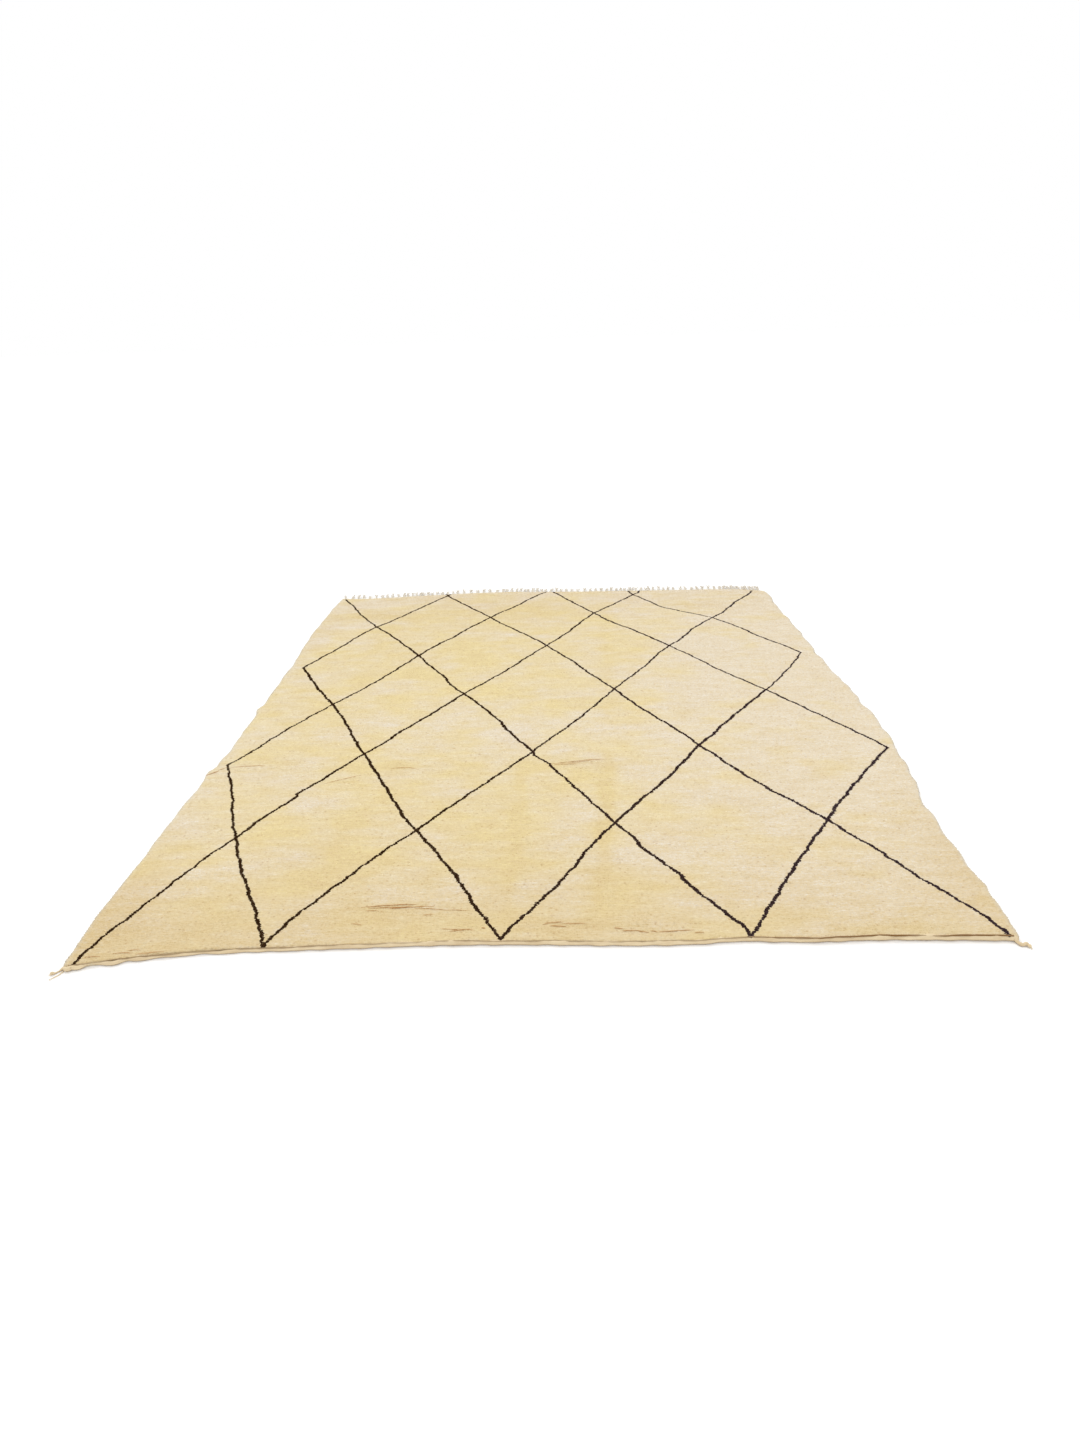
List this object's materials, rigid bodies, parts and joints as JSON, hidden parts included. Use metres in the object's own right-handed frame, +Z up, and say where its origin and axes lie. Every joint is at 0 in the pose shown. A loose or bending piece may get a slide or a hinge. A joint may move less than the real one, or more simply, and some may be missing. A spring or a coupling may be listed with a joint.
{
  "type": "beni ourain rug",
  "caption": "Large hand-knotted wool rug lying flat, cream pile with a thin dark diamond lattice, a twined heading cord with knotted ends, and a fringe at the far end.",
  "frame": {"origin": "on the floor under the middle of the rug, on its flat underside", "axes": "+X across the width, +Y along the length from the heading cord to the fringe, +Z up"},
  "size_m": [2.8201, 3.8836, 0.0181],
  "materials": {
    "pile_wool": "matt undyed wool pile",
    "cord_wool": "matt twined wool",
    "fringe_wool": "matt spun wool"
  },
  "bodies": {
    "root": {"pile_field": "pile_wool", "heading_cord": "cord_wool", "fringe": "fringe_wool"}
  },
  "joints": []
}
